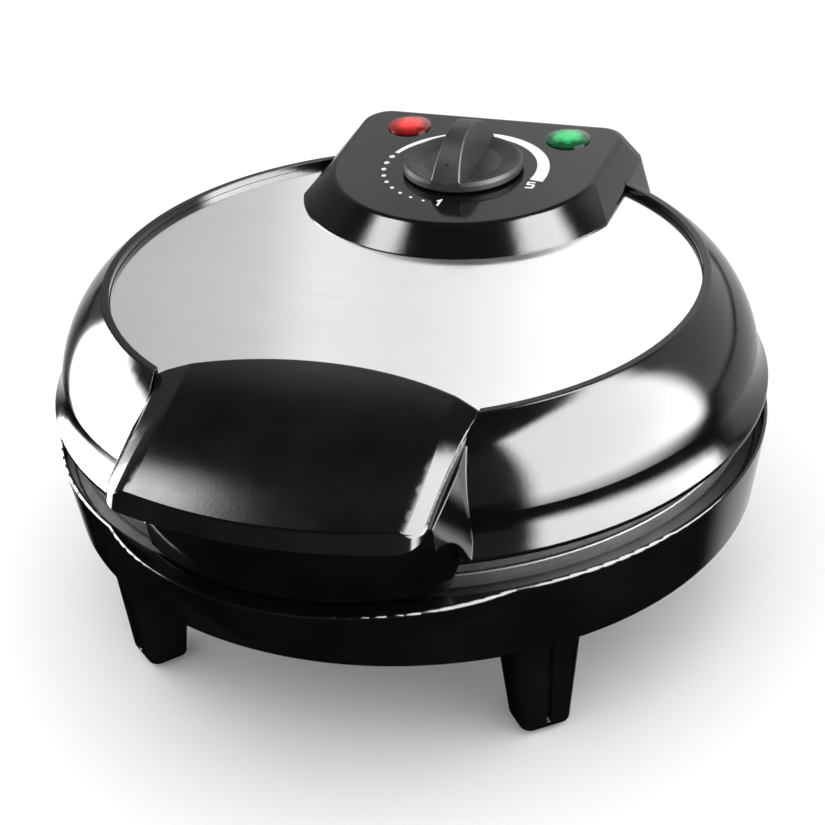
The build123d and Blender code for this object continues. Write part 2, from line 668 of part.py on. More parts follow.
def base_wiring():
    """Leads from the block to the cold ends and the fuse, and from the gland to the block."""
    long, deep, high = BLOCK
    third = long / 3
    top = COVER_TOP + high
    end_y = COLD_END_Y + BEAD_T
    leads = []
    for side in (-1, 1):
        x = side * cold_end_x()
        leads.append(wire(((x, end_y, HEATER_Z), (x, end_y + 2.6, HEATER_Z),
                           (side * third, BLOCK_Y, top + 2.4), (side * third, BLOCK_Y, top - 3)), r=0.8))
    fuse_end = Rot(0, 0, FUSE_ANGLE) * Pos(FUSE_PITCH, FUSE_LONG / 2, DECK_Z - FUSE_R - 1.0)
    beyond = fuse_end * Pos(0, 3.5)
    start, turn = fuse_end.position, beyond.position
    side_x = long / 2
    leads.append(wire(((start.X, start.Y, start.Z), (turn.X, turn.Y, turn.Z),
                       (side_x + 4.5, BLOCK_Y, top - 2.2), (side_x, BLOCK_Y, top - 2.2)), r=0.8))
    return leads


# Lid


def shoulder(offset, r):
    """Height of the domed shoulder, drawn in by an offset, at a radius."""
    return SHOULDER_CZ + sqrt((SHOULDER_R - offset)**2 - (r - SHOULDER_CR)**2)


def lid_form(offset, top_r, low_z):
    """The lid's solid form about its axis: lip, flared skirt, domed shoulder and flat top."""
    lip = LID_LIP_R - offset
    flank = FLANK_R - offset
    flank_z = SHOULDER_CZ + (SHOULDER_R - offset) * SHOULDER_SIN
    lip_z = LID_LIP_Z + LIP_EDGE
    end_z = shoulder(offset, top_r)
    angle = (asin(SHOULDER_SIN) + asin((end_z - SHOULDER_CZ) / (SHOULDER_R - offset))) / 2
    mid_r = SHOULDER_CR + (SHOULDER_R - offset) * cos(angle)
    mid_z = SHOULDER_CZ + (SHOULDER_R - offset) * sin(angle)
    lines = [
        Line((0, low_z), (lip, low_z)),
        Line((lip, low_z), (lip, lip_z)),
        ThreePointArc((lip, lip_z), (FLARE_R - offset, (lip_z + flank_z) / 2), (flank, flank_z)),
        ThreePointArc((flank, flank_z), (mid_r, mid_z), (top_r, end_z)),
        Line((top_r, end_z), (0, end_z)),
        Line((0, end_z), (0, low_z)),
    ]
    return revolve(Plane.XZ * make_face(lines), Axis.Z)


def dome():
    """The lid's outside with its flat ring, and the recess that takes the inlay."""
    form = lid_form(0, RING_R, LID_LIP_Z)
    form = fillet(form.edges().filter_by(GeomType.CIRCLE).group_by(Axis.Z)[-1], RING_EDGE)
    return form - disc(INLAY_R + FIT, FLOOR_Z, RING_Z + 1)


def nose_plan(inset, top):
    """Corners of the nose seen from above, at the lid's lower edge or at the ring's height."""
    wide = NOSE_TOP_X if top else NOSE_LOW_X
    front = NOSE_TOP_FRONT if top else NOSE_LOW_FRONT
    return mirrored(((wide - inset, -NOSE_REAR), (wide - inset, -NOSE_TURN),
                     (front - inset, -NOSE_Y + inset)))


def nose_form(inset):
    """The nose's form between the lid's lower edge and the ring's height."""
    low = Plane.XY.offset(LID_LIP_Z) * make_face(Polyline(*nose_plan(inset, False), close=True))
    high = Plane.XY.offset(RING_Z) * make_face(Polyline(*nose_plan(inset, True), close=True))
    return loft([low, high])


def under_plane(drop):
    """Everything under the plane of the handle, by a drop measured upright."""
    far = -NOSE_Y - 30
    return prism_x(((far, 0), (far, grip_z(far) - drop), (-GRIP_Y, INLAY_Z - drop), (-GRIP_Y, 0)),
                   NOSE_LOW_X + 5)


def fender():
    """What is cut away under the nose's sides: a wheel-arch shape that rises to the front."""
    lines = [
        Line((-NOSE_Y - 3, LID_LIP_Z - 1), (16.5 - NOSE_Y, LID_LIP_Z - 1)),
        Line((16.5 - NOSE_Y, LID_LIP_Z - 1), (14.7 - NOSE_Y, 73.9)),
        ThreePointArc((14.7 - NOSE_Y, 73.9), (9.9 - NOSE_Y, 80.4), (-NOSE_Y - 3, NOSE_LOW)),
        Line((-NOSE_Y - 3, NOSE_LOW), (-NOSE_Y - 3, LID_LIP_Z - 1)),
    ]
    return extrude(Plane.YZ * make_face(lines), NOSE_LOW_X + 5, both=True)


def chin_room():
    """Space in the front of the lid that the chin fills."""
    half = CHIN_W_TOP + GAP
    plan = mirrored(((half, -NOSE_REAR), (half, 15.5 - NOSE_Y),
                     (NOSE_LOW_FRONT - NOSE_T - 0.3, -NOSE_Y - 1)))
    return prism_z(plan, LID_LIP_Z - 10, NOSE_LOW + 0.5) - disc(CLEAR_R - 0.9, LID_LIP_Z - 11, NOSE_LOW + 1)


def hinge_knuckle(x):
    """A knuckle of the lid and the web that carries it."""
    head = Pos(x, HINGE_Y, HINGE_Z) * Rot(0, 90, 0) * Cylinder(EAR_R, KNUCKLE_W)
    web = Pos(x) * prism_x(((HINGE_Y + EAR_R, HINGE_Z), (HINGE_Y - 3.5, FLANK_Z - 2),
                            (HINGE_Y - 7, FLANK_Z - 2), (HINGE_Y - EAR_R - 0.5, LID_LIP_Z),
                            (HINGE_Y - EAR_R, HINGE_Z)), KNUCKLE_W / 2)
    return head + web


def knuckle_x(side):
    return side * (EAR_X - EAR_W / 2 - GAP - KNUCKLE_W / 2)


def lid_hollow():
    """The room inside the lid, less the sloping floor under the handle."""
    room = lid_form(WALL, CEILING_R, LID_LIP_Z - 1)
    far = -NOSE_Y - 30
    drop = FIT / 2 + FLOOR_LID_T
    slope = prism_x(((far, RING_Z + 5), (far, grip_z(far) - drop), (-GRIP_Y, INLAY_Z - drop),
                     (-GRIP_Y, RING_Z + 5)), HANDLE_W + 2.6)
    return room - slope


def lid_shell():
    shell = dome()
    shell += (nose_form(0) & under_plane(FIT / 2)) - fender()
    for side in (-1, 1):
        shell += hinge_knuckle(knuckle_x(side))
    shell -= handle_block(-FIT) & above_plane(-FIT / 2)
    shell -= (nose_form(NOSE_T) & under_plane(FIT / 2 + FLOOR_LID_T)) - lid_form(0, RING_R, LID_LIP_Z - 1)
    shell -= lid_hollow()
    shell += ring(OPENING_R, LID_LIP_R - WALL + 0.4, LID_LIP_Z, SEAT_TOP)
    shell += ring(OPENING_R, OPENING_R + RIB_T, UPPER_BACK, SEAT_TOP)
    shell -= chin_room()
    for side in (-1, 1):
        x, y = CHIN_SCREW
        shell += Pos(side * x, y) * disc(3.0, NOSE_LOW + 0.5, grip_z(y - 3.0) - 1)
        shell -= Pos(side * x, y) * thread(SCREW_SMALL, NOSE_LOW, NOSE_LOW + 6)
        ear = Pos(side * EAR_X, HINGE_Y, HINGE_Z) * Rot(0, 90, 0)
        shell -= ear * Cylinder(EAR_R + 2 * GAP, EAR_W + 2 * GAP)
        shell -= Pos(knuckle_x(side), HINGE_Y, HINGE_Z) * Rot(0, 90, 0) * Cylinder(PIN_R + RUN, KNUCKLE_W + 1)
    shell -= Pos(0, PANEL_Y + 2, CEILING_Z - 1) * extrude(RectangleRounded(*WINDOW, 4), FLOOR_LID_T + 2)
    for x, y in POSTS_IN:
        shell -= Pos(x, PANEL_Y + y) * hole(SCREW_MID, CEILING_Z - 1, FLOOR_Z + 1)
    for x, s in HANDLE_SCREWS:
        shell -= GRIP_PLANE * Pos(x, s) * hole(SCREW_MID, -FLOOR_LID_T - 2, 1)
    for angle in PLATE_SCREWS:
        shell -= polar(angle, PLATE_SCREW_R) * thread(SCREW_PLATE, UPPER_BACK - 1, SEAT_TOP - 0.4)
    return shell


def inlay_plate():
    """The steel disc in the lid's recess, cut out for the handle and the control housing."""
    plate = disc(INLAY_R, FLOOR_Z, INLAY_Z)
    under = Pos(0, -GRIP_Y - 30, INLAY_Z) * Box(3 * HANDLE_W, 60, 10)
    plate -= handle_block(-FIT) & under
    return plate - Pos(0, 0, FLOOR_Z - 60) * housing_room(HOUSING_WALL - 0.6, 120)


# Handle


def handle_plan(inset, reach):
    """The handle seen from above: a curved front and rear, and slightly waisted sides."""
    rear_y = -HANDLE_REAR - (REAR_ARC - sqrt(REAR_ARC**2 - HANDLE_W**2))
    front_y = -reach + (FRONT_ARC - sqrt(FRONT_ARC**2 - HANDLE_FRONT_W**2))
    wide, waist, front = HANDLE_W - inset, HANDLE_WAIST - inset, HANDLE_FRONT_W - inset
    rear_y -= inset
    front_y += inset
    lines = [
        ThreePointArc((-wide, rear_y), (0, -HANDLE_REAR - inset), (wide, rear_y)),
        ThreePointArc((wide, rear_y), (waist, -WAIST_Y), (front, front_y)),
        ThreePointArc((front, front_y), (0, -reach + inset), (-front, front_y)),
        ThreePointArc((-front, front_y), (-waist, -WAIST_Y), (-wide, rear_y)),
    ]
    face = make_face(lines)
    ends = face.vertices().sort_by(Axis.Y)
    face = fillet(ends[:2], CORNER_FRONT - inset)
    return fillet(face.vertices().sort_by(Axis.Y)[-2:], max(CORNER_REAR - inset, 1))


def handle_block(inset):
    """An upright block with the handle's plan and its leaning front."""
    low, high = LIP_Z - 12, HANDLE_TOP + 8
    sections = [Plane.XY.offset(z) * handle_plan(inset, HANDLE_REACH - FRONT_LEAN * (z - LIP_Z))
                for z in (low, high)]
    return loft(sections)


def above_plane(lift):
    """Everything over what the handle lies on, lifted by an upright distance."""
    far = -NOSE_Y - 30
    return prism_x(((far, grip_z(far) + lift), (-GRIP_Y, INLAY_Z + lift), (0, INLAY_Z + lift),
                    (0, RING_Z + 40), (far, RING_Z + 40)), NOSE_LOW_X + 5)


def handle_top(drop):
    """The body under the handle's bevelled top, lowered by a drop."""
    far = HANDLE_W + 6
    sections = []
    for k in range(TOP_CUTS + 1):
        y = 11.5 - HANDLE_REAR - k * (HANDLE_REACH - HANDLE_REAR + 17) / TOP_CUTS
        z = top_z(y) - drop
        edge = (top_z(y) - grip_z(y) - EDGE_T) / (HANDLE_WAIST - BEVEL_X)
        turn = atan(edge)
        r = TOP_ROUND - drop
        back = r * tan(turn / 2)
        x = BEVEL_X - drop / 2
        right = [(x - back, y, z), (x - back + r * sin(turn / 2), y, z - r * (1 - cos(turn / 2))),
                 (x + back * cos(turn), y, z - back * sin(turn)), (far, y, z - edge * (far - x)),
                 (far, y, 60.0)]
        left = [(-x, y, z) for x, y, z in right]
        sections.append(make_face([
            Line(left[0], right[0]), ThreePointArc(*right[:3]), Polyline(*right[2:]),
            Line(right[4], left[4]), Polyline(*reversed(left[2:])), ThreePointArc(*reversed(left[:3]))]))
    return loft(sections)


def front_creases(body):
    """Edges at the handle's front, where its top meets the faces below at an angle."""
    found = []
    for edge in body.edges():
        middle = edge @ 0.5
        faces = [face for face in body.faces() if any(side.is_same(edge) for side in face.edges())]
        first, second = [face.normal_at(middle) for face in faces]
        at_top = middle.Y < -NOSE_Y and middle.Z > grip_z(middle.Y) + UNDERPLATE_T
        if at_top and first.get_angle(second) > CREASE:
            found.append(edge)
    return found


def handle_cover():
    cover = handle_block(0) & handle_top(0) & above_plane(0)
    cover = fillet(front_creases(cover), HANDLE_EDGE)
    hollow = handle_block(HANDLE_WALL) & handle_top(HANDLE_WALL) & above_plane(-1)
    posts = [GRIP_PLANE * Pos(x, s) * disc(POST_R, 0, 12) for x, s in HANDLE_SCREWS + UNDER_SCREWS]
    lift = [GRIP_PLANE * Pos(x, s) * disc(POST_R + 1, -1, UNDERPLATE_T) for x, s in UNDER_SCREWS]
    hollow = hollow - posts + [piece & hollow for piece in lift]
    cover -= hollow
    for x, s in HANDLE_SCREWS:
        cover -= GRIP_PLANE * Pos(x, s) * thread(SCREW_MID, -1, 2.0)
    for x, s in UNDER_SCREWS:
        cover -= GRIP_PLANE * Pos(x, s) * thread(SCREW_SMALL, 0, UNDERPLATE_T + 1.4)
    return cover


def handle_screws():
    return [GRIP_PLANE * Pos(x, s) * screw(SCREW_MID, -GRIP_FLOOR, GRIP_FLOOR + 1.9)
            for x, s in HANDLE_SCREWS]


def handle_underplate():
    """The plate that closes the handle's overhang from below."""
    room = handle_block(HANDLE_WALL + FIT / 2) & handle_top(HANDLE_WALL + FIT / 2) & above_plane(0)
    level = GRIP_PLANE * Pos(0, -NOSE_Y + GRIP_Y - 14, UNDERPLATE_T / 2) * Box(120, 24, UNDERPLATE_T)
    plate = room & level
    for x, s in UNDER_SCREWS:
        plate -= GRIP_PLANE * Pos(x, s) * hole(SCREW_SMALL, -1, 3)
    return plate


def underplate_screws():
    return [GRIP_PLANE * Pos(x, s) * screw(SCREW_SMALL, 0, UNDERPLATE_T + 1.2) for x, s in UNDER_SCREWS]


def chin():
    """The heat guard under the nose, with a floor that closes the nose from below."""
    top = NOSE_LOW + 0.3
    body = Pos(0, CHIN_CY) * disc(CHIN_R, CHIN_Z, top) - disc(CLEAR_R, CHIN_Z - 1, top + 1)
    ends = mirrored(((CHIN_W, CHIN_Z), (CHIN_W_TOP, CHIN_FULL), (CHIN_W_TOP, top)))
    body &= Pos(0, -60) * extrude(Plane.XZ * make_face(Polyline(*ends, close=True)), 80)
    shelf_plan = [(x - 2 if x > 0 else x + 2, y) for x, y in nose_plan(NOSE_T + 1.6, False)]
    shelf = prism_z(shelf_plan, top, top + SHELF_T) - disc(FLANK_R + 0.6, top - 1, top + SHELF_T + 1)
    body += shelf
    pocket = Pos(0, CHIN_CY) * disc(CHIN_R - CHIN_WALL, CHIN_Z + CHIN_WALL, top + 9)
    pocket -= disc(CLEAR_R + CHIN_WALL, CHIN_Z, top + 10)
    body -= pocket & Pos(0, -100, top) * Box(2 * CHIN_POCKET, 60, 80)
    for side in (-1, 1):
        spot = Pos(side * CHIN_SCREW[0], CHIN_SCREW[1])
        body -= spot * disc(3.4, top, top + 5)
        body -= spot * disc(SCREW_SMALL[0] + FIT, CHIN_Z - 1, CHIN_SEAT)
        body -= spot * hole(SCREW_SMALL, CHIN_SEAT - 1, top + 1)
    return body


def chin_screws():
    length = NOSE_LOW + 5.6 - CHIN_SEAT
    x, y = CHIN_SCREW
    return [Pos(side * x, y) * screw(SCREW_SMALL, CHIN_SEAT, length) for side in (-1, 1)]


# Control housing


def d_plan(outline, inset):
    """A D-shaped outline: an arc towards the handle and a straight rear with rounded corners."""
    arc, arc_y, join, wide, back = outline
    arc, join, wide, back = arc - inset, join - inset, wide - inset, back - inset
    join_y = arc_y - sqrt(arc**2 - join**2)
    lines = [
        Line((-wide, back), (-join, join_y)),
        ThreePointArc((-join, join_y), (0, arc_y - arc), (join, join_y)),
        Line((join, join_y), (wide, back)),
        Line((wide, back), (-wide, back)),
    ]
    face = make_face(lines)
    return fillet(face.vertices().sort_by(Axis.Y)[-2:], PANEL_CORNER - inset)


def housing_form(inset, top):
    """The housing's form down to below the lid's shoulder, in the panel's frame."""
    upper_part = loft([Plane.XY.offset(-top) * d_plan(PANEL, inset),
                       Plane.XY.offset(-FOOT_DROP) * d_plan(FOOT, inset)])
    lower_part = loft([Plane.XY.offset(-FOOT_DROP) * d_plan(FOOT, inset),
                       Plane.XY.offset(-SKIRT_DROP) * d_plan(SKIRT, inset)])
    return upper_part + lower_part


def housing_room(inset, height):
    """An upright prism with the outline of the housing's foot."""
    return Pos(0, PANEL_Y) * extrude(d_plan(FOOT, inset), height)


def control_housing():
    """The hooded housing on the inlay, with holes for the spindle and the two lamps."""
    skin = housing_form(0, 0)
    skin = fillet(skin.edges().filter_by(lambda e: e.center().Z > -0.5), PANEL_EDGE)
    over = Pos(0, PANEL_Y, SKIRT_Z + SKIRT_FLOOR + 50) * Box(300, 300, 100)
    body = PANEL_PLANE * skin - (PANEL_PLANE * housing_form(HOUSING_WALL, HOUSING_WALL) & over)
    body -= Pos(0, 0, SKIRT_Z / 2) * Box(300, 300, SKIRT_Z)
    body -= lid_form(-FIT / 2, RING_R, LID_LIP_Z) - disc(INLAY_R, INLAY_Z, RING_Z + 1)
    for x, y in POSTS_IN:
        body += Pos(x, PANEL_Y + y) * disc(POST_R, FLOOR_Z, PANEL_Z - HOUSING_WALL)
        body -= Pos(x, PANEL_Y + y) * thread(SCREW_MID, FLOOR_Z - 1, FLOOR_Z + 5.5)
    for x in (-LENS_X, LENS_X):
        body -= PANEL_PLANE * Pos(x, LENS_Y) * disc(LENS_BODY_R, -9, 1)
    return body - PANEL_PLANE * disc(SPINDLE_R + 0.4, -9, 1)


def housing_screws():
    return [Pos(x, PANEL_Y + y) * screw(SCREW_MID, CEILING_Z, FLOOR_LID_T + 5) for x, y in POSTS_IN]


def dial_scale():
    """A raised scale: a band that widens clockwise, dots that grow, and two plain numbers."""
    first, last = DIAL_SPAN
    outer = []
    inner = []
    steps = 24
    for k in range(steps + 1):
        share = k / steps
        angle = radians(last + (first - last) * share)
        half = (DIAL_THIN + (DIAL_WIDE - DIAL_THIN) * share) / 2
        outer.append(((DIAL_R + half) * cos(angle), (DIAL_R + half) * sin(angle)))
        inner.append(((DIAL_R - half) * cos(angle), (DIAL_R - half) * sin(angle)))
    band = [Spline(*outer), Line(outer[-1], inner[-1]), Spline(*reversed(inner)), Line(inner[0], outer[0])]
    pieces = [extrude(make_face(band), DIAL_T)]
    for k in range(DOTS):
        share = k / (DOTS - 1)
        angle = DOT_SPAN[1] + (DOT_SPAN[0] - DOT_SPAN[1]) * share
        pieces.append(polar(angle, DIAL_R) * disc(DOT_SMALL + (DOT_LARGE - DOT_SMALL) * share, 0, DIAL_T))
    one = trace(Polyline((-1.0, 1.0), (0, 1.9), (0, -1.9)), MARK_W)
    five = trace(Polyline((1.2, 1.9), (-1.0, 1.9), (-1.0, 0.3), (1.0, 0.3), (1.2, -0.6), (0.8, -1.9),
                          (-1.2, -1.9)), MARK_W)
    for digit, angle in ((one, 270.0), (five, -18.0)):
        pieces.append(polar(angle, DIAL_R) * extrude(digit, DIAL_T))
    return [PANEL_PLANE * piece for piece in pieces]


def lens(side):
    """A domed lens on the panel with a hollow body through it."""
    flange = disc(LENS_R, 0, LENS_FLANGE)
    radius = (LENS_R**2 + LENS_DOME**2) / (2 * LENS_DOME)
    cap = Pos(0, 0, LENS_FLANGE + LENS_DOME - radius) * Sphere(radius) & disc(LENS_R, LENS_FLANGE, 10)
    body = disc(LENS_BODY_R, -LENS_BODY, 0) - disc(LENS_BODY_R - LENS_WALL, -LENS_BODY - 1, -0.4)
    return PANEL_PLANE * Pos(side * LENS_X, LENS_Y) * (flange + cap + body)


def lamp(side):
    """A small indicator lamp inside the lens's body, on a disc that plugs it from below."""
    plug_r = LENS_BODY_R - LENS_WALL
    plug = disc(plug_r, -LENS_BODY, -LENS_BODY + 1)
    bulb = disc(BULB_R, -LENS_BODY + 1, -1.6)
    bulb = fillet(bulb.edges().filter_by(GeomType.CIRCLE).sort_by(Axis.Z)[-1], 0.9)
    return PANEL_PLANE * Pos(side * LENS_X, LENS_Y) * (plug + bulb)


# Dial and thermostat


def dial_knob():
    """A round knob with an arched grip whose front end points at the scale."""
    rim = KNOB_R
    face = KNOB_DISC
    body = turned((0, KNOB_GAP), (rim - 0.3, KNOB_GAP), (rim, KNOB_GAP + 0.4), (rim, face - 1.0),
                  (rim - 0.9, face), (rim - 1.8, face), (rim - 7, face - KNOB_DISH), (0, face - KNOB_DISH))
    arch = Plane.YZ * make_face([
        Line((-rim, KNOB_GAP + 1), (rim, KNOB_GAP + 1)),
        Line((rim, KNOB_GAP + 1), (rim, face)),
        ThreePointArc((rim, face), (0, KNOB_TOP), (-rim, face)),
        Line((-rim, face), (-rim, KNOB_GAP + 1)),
    ])
    flanks = loft([Plane.XY.offset(KNOB_GAP) * Rectangle(GRIP_FOOT_T, 2 * rim + 2),
                   Plane.XY.offset(KNOB_TOP) * Rectangle(GRIP_TOP_T, 2 * rim + 2)])
    grip = extrude(arch, rim, both=True) & flanks
    crest = grip.edges().filter_by(lambda e: e.center().Z > face + 3)
    body += fillet(crest, 0.8) & disc(rim, 0, KNOB_TOP + 1)
    hub = ring(SPINDLE_R + 3.2, rim - 2.2, 0, 1.8) - Box(GRIP_FOOT_T - 2, 2 * rim, 6)
    body -= hub
    long, wide, deep = KNOB_MARK
    mark_y = -rim + 6.5
    body -= Pos(0, mark_y, face + 6.4) * Rot(36, 0, 0) * Box(wide, long, deep * 2)
    return PANEL_PLANE * (body - spindle_form(0, KNOB_GAP - 1, SPINDLE_TOP))


def spindle_form(grow, low, high):
    """The spindle's round with its flat, between two heights in the panel's frame."""
    bar = disc(SPINDLE_R + grow, low, high)
    flat = Box(4 * SPINDLE_R, 2 * SPINDLE_R, high - KNOB_GAP + 2)
    flat = Pos(0, SPINDLE_FLAT + grow + SPINDLE_R, (high + KNOB_GAP) / 2) * flat
    return bar - flat


def spindle():
    return PANEL_PLANE * spindle_form(0, -STAT_TOP + 1, SPINDLE_TOP)


def thermostat():
    """A snap-action thermostat: an insulated body, its bush and two tags."""
    wide, deep, high = STAT_BODY
    body = Pos(0, 0, -STAT_TOP - high / 2) * Box(wide, deep, high)
    body = fillet(body.edges().filter_by(Axis.Z), 2.0)
    body += disc(STAT_BUSH_R, -STAT_TOP, -STAT_TOP + STAT_BUSH)
    body -= disc(SPINDLE_R + RUN, -STAT_TOP + 0.6, 0)
    for side in (-1, 1):
        body += Pos(side * (wide / 2 + 2), 4, -STAT_TOP - 3) * Box(5, 6.3, 0.8)
    return PANEL_PLANE * body


def bracket():
    """A sheet channel that stands on the upper reflector and carries the thermostat."""
    wide, deep, high = STAT_BODY
    foot_z = 2 * PARTING_Z - DISH_Z + SHEET_T
    body = Pos(0, PANEL_Y - 3, foot_z + 6) * Box(wide - 6, deep - 4, 12)
    room = Pos(0, PANEL_Y - 3, foot_z + 6 + BRACKET_T) * Box(wide - 6 - 2 * BRACKET_T, deep, 12)
    body -= PANEL_PLANE * Pos(0, 0, -STAT_TOP - high + 30) * Box(wide * 2, deep * 3, 60)
    body -= room & PANEL_PLANE * Pos(0, 0, -STAT_TOP - high - BRACKET_T - 30) * Box(wide * 2, deep * 3, 60)
    return body


def upper_ends():
    """Faces of the beads on the upper ring's cold ends."""
    z = 2 * PARTING_Z - HEATER_Z
    reach = -COLD_END_Y - BEAD_T
    return [Vector(reach, -cold_end_x(), z), Vector(reach, cold_end_x(), z)]


def in_panel(x, y, z):
    """A place in the panel's frame as a place in the lid."""
    spot = (PANEL_PLANE * Pos(x, y, z)).position
    return (spot.X, spot.Y, spot.Z)


def lid_wiring():
    """Leads from the thermostat to the lamps and to the upper ring."""
    tag_x = STAT_BODY[0] / 2 + 4.5
    tag_z = -STAT_TOP - 3
    leads = []
    for side in (-1, 1):
        turn_z = -LENS_BODY - 1.5
        x = side * LENS_X
        leads.append(wire((in_panel(x, LENS_Y, -LENS_BODY), in_panel(x, LENS_Y, turn_z),
                           in_panel(side * 24, 12, turn_z - 0.5), in_panel(side * 24, 4, tag_z),
                           in_panel(side * tag_x, 4, tag_z)), bend=0.9, r=0.7))
    for end, side in zip(upper_ends(), (-1, 1)):
        row = -4 + 2 * side
        near = in_panel(-STAT_BODY[0] / 2 - 5, row, tag_z - 4)
        tag = in_panel(-STAT_BODY[0] / 2, row, tag_z - 4)
        leads.append(wire(((end.X, end.Y, end.Z), (end.X - 3, end.Y, end.Z), (end.X - 3, end.Y, 91.0),
                           (-40 - 2 * side, 40.0 - 3 * side, 92.0), near, tag), r=0.8))
    return leads


def nodes():
    """Every piece by the name of its file."""
    ring_piece, reflector_piece, stud_screw = heater(), reflector(), reflector_screw()
    pieces = {
        "base_shell": base_shell(),
        "bottom_cover": bottom_cover(),
        "cover_screws": cover_screws(),
        "foot_screws": foot_screws(),
        "lower_plate": lower_plate(),
        "lower_plate_screws": lower_plate_screws(),
        "lower_heater": ring_piece,
        "lower_reflector": reflector_piece,
        "lower_reflector_screw": stud_screw,
        "terminal_block": terminal_block(),
        "thermal_fuse": thermal_fuse(),
        "base_wiring": base_wiring(),
        "cord_gland": cord_gland(),
        "gland_clip": gland_clip(),
        "hinge_pin_left": hinge_pin(-1),
        "hinge_pin_right": hinge_pin(1),
        "lid_shell": lid_shell(),
        "inlay_plate": inlay_plate(),
        "handle_cover": handle_cover(),
        "handle_screws": handle_screws(),
        "handle_underplate": handle_underplate(),
        "underplate_screws": underplate_screws(),
        "heat_guard": chin(),
        "heat_guard_screws": chin_screws(),
        "control_housing": control_housing(),
        "housing_screws": housing_screws(),
        "dial_scale": dial_scale(),
        "lens_red": lens(-1),
        "lens_green": lens(1),
        "lamp_red": lamp(-1),
        "lamp_green": lamp(1),
        "upper_plate": upper_plate(),
        "upper_plate_screws": upper_plate_screws(),
        "upper_heater": upper(ring_piece),
        "upper_reflector": upper([reflector_piece]),
        "upper_reflector_screw": upper([stud_screw]),
        "thermostat": thermostat(),
        "thermostat_bracket": bracket(),
        "lid_wiring": lid_wiring(),
        "dial_knob": dial_knob(),
        "thermostat_spindle": spindle(),
    }
    names = ("front_left", "front_right", "rear_left", "rear_right")
    for name, (x, y) in zip(names, foot_places()):
        pieces["foot_" + name] = foot(x, y)
        pieces["foot_pad_" + name] = foot_pad(x, y)
    return pieces


if __name__ == "__main__":
    os.makedirs("parts", exist_ok=True)
    for name, piece in nodes().items():
        solids = piece if isinstance(piece, list) else [piece]
        solids = [Pos(0, BODY_Y) * solid for entry in solids for solid in entry.solids()]
        shape = solids[0] if len(solids) == 1 else Compound(children=solids)
        export_step(shape, os.path.join("parts", name + ".step"))
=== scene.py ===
"""Looks of the heart waffle maker: camera, studio, and the materials of the CAD frame's pieces."""

import json
from math import cos, pi, radians, sin

import bpy
from mathutils import Matrix, Vector

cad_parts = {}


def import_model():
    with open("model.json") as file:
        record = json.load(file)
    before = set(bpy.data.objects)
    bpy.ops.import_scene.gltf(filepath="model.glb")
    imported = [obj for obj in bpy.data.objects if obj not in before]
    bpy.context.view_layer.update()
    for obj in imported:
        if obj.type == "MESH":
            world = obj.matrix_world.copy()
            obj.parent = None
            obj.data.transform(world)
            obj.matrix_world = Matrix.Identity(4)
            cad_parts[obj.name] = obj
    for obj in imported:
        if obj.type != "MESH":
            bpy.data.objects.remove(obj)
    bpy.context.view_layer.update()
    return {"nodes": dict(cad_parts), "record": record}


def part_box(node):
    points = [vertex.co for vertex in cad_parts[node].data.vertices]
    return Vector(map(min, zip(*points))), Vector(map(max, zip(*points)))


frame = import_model()

# Camera, fitted to the photograph
AZIMUTH, ELEVATION, ROLL = radians(20.17), radians(30.44), radians(-3.13)
TARGET = Vector((-0.002, 0.01005, 0.050))
DISTANCE = 0.604
LENS, SENSOR = 82.87, 36.0
NEAREST, FARTHEST = 0.01, 50.0  # what the camera sees, in metres from it

# Softboxes: name, place, the point it faces, width, height, brightness, share of soft edge
SOFTBOXES = (
    ("softbox_right", (0.56, -0.11, 0.40), (0, -0.11, 0.40), 0.78, 0.88, 36.0, 0.14),
    ("softbox_right_high", (0.27, 0.13, 0.61), (0, 0.03, 0.10), 0.30, 0.28, 34.0, 0.3),
    ("softbox_left", (-0.50, -0.04, 0.12), (0, -0.04, 0.12), 0.48, 0.44, 36.0, 0.12),
    ("softbox_left_high", (-0.332, 0.003, 0.613), (0, 0.02, 0.104), 0.24, 0.22, 30.0, 0.35),
)
# Brightness of the backdrop from left to right, by the sideways part of the direction
BACKDROP = (
    (-1.0, 0.10),
    (-0.60, 0.45),
    (-0.44, 0.56),
    (-0.378, 0.66),
    (-0.352, 1.02),
    (-0.31, 0.88),
    (-0.27, 1.00),
    (-0.22, 1.28),
    (1.0, 1.28),
)
# How the backdrop fades upwards, below the horizon and to the front, and where the pale table shows
# behind the object: two places on an axis of the direction, and the brightness at each
FADE_UP = (0.56, 0.74, 1.0, 0.15)
FADE_DOWN = (-0.06, 0.03, 0.0, 1.0)
FADE_FRONT = (-0.10, 0.35, 0.28, 1.0)
TABLE_BELOW = (-0.10, -0.04, 1.0, 0.0)
TABLE_BEHIND = (0.55, 0.72, 0.0, 0.8)
TINT = (1.0, 0.985, 0.98, 1)    # colour of the room in reflections
WHITE = (1.0, 1.0, 1.0, 1)
ROOM = 1.30                     # brightness of the white room
FLOOR_HALF = 6.0                # half the side of the floor, in metres

# Materials
COLOUR_SPAN = (0.35, 0.65)      # the noise values where the dark and the light colour are reached
GLOSS_SPAN = (0.3, 0.7)         # the same for the low and the high roughness
SOFTEN_SAMPLES = 6              # rays for each point of a softened rounding
MIRROR_LEVEL = 0.25             # how much the glossy mouldings mirror, where plain plastic has 0.5
LENS_FACETS = 420.0             # facets and bumps of a pilot lens, to the metre
LENS_REACH = 0.008              # from a lens's middle to past its edge, in metres
FACET_SHARE = 0.25              # how far a facet shifts the colour from the painted glow of the middle towards the painted shade of the edge
LENS_GLOW_TO_SHADE = (0.45, 0.85)        # the shares of LENS_REACH between which the painted glow of the middle turns into the painted shade of the edge
